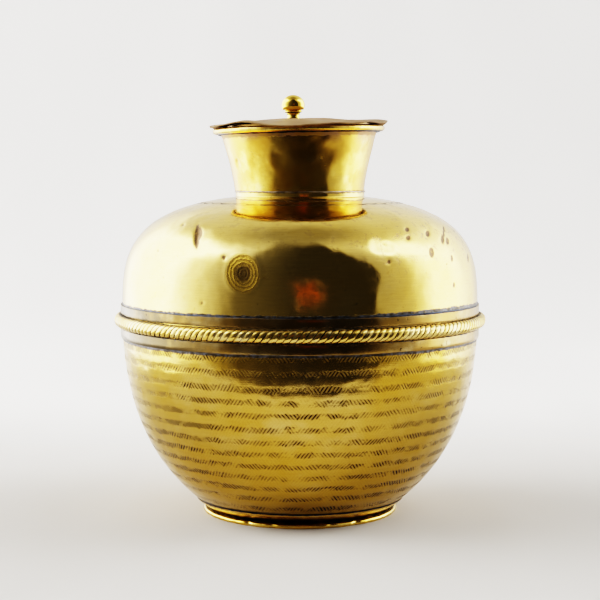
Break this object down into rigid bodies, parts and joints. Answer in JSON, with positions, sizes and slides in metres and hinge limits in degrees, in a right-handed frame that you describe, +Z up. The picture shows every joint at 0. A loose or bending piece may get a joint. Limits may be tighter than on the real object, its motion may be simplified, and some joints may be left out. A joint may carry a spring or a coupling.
{
  "type": "lidded brass water pot",
  "caption": "Round-bellied brass water pot on a foot ring, with a rope band at the belly, a flared neck and a lift-off knobbed lid.",
  "frame": {"origin": "centre of the foot, on the ground", "axes": "+Z up along the pot's axis, towards the mouth and the knob; the knob sits a little towards -X"},
  "size_m": [0.357, 0.3568, 0.4],
  "materials": {
    "hammered_brass": "polished, with dark hammer marks in rows",
    "shoulder_brass": "polished sheet with small dents and pits",
    "neck_brass": "polished sheet with brown patches",
    "lip_brass": "polished",
    "band_brass": "polished, pitted",
    "rope_brass": "polished on the crests, dark in the grooves",
    "foot_brass": "worn",
    "lid_brass": "tarnished thin sheet",
    "knob_brass": "turned and polished",
    "braze": "brazing line",
    "dark_solder": "dark grey soft solder and patina",
    "bright_solder": "grey tin solder"
  },
  "bodies": {
    "pot": {"lower_bowl": "hammered_brass", "foot_ring": "foot_brass", "foot_wire": "foot_brass", "foot_solder": "dark_solder", "shoulder": "shoulder_brass", "neck_plate": "shoulder_brass", "dovetail_braze": "braze", "belly_solder": "dark_solder", "lower_strip": "band_brass", "rope_ring": "rope_brass", "upper_strip": "band_brass", "band_solder_top": "dark_solder", "band_solder_bottom": "dark_solder", "neck": "neck_brass", "neck_solder": "bright_solder", "lip_roll": "lip_brass", "lip_wire": "lip_brass", "lip_solder": "dark_solder"},
    "lid": {"lid_disc": "lid_brass", "lid_collar": "lid_brass", "lid_collar_solder": "bright_solder", "knob": "knob_brass", "knob_washer": "lid_brass"}
  },
  "joints": [
    {"name": "lid_lift", "type": "slide", "parent": "pot", "child": "lid", "axis": [0, 0, 1], "range_m": [0, 0.15]}
  ]
}
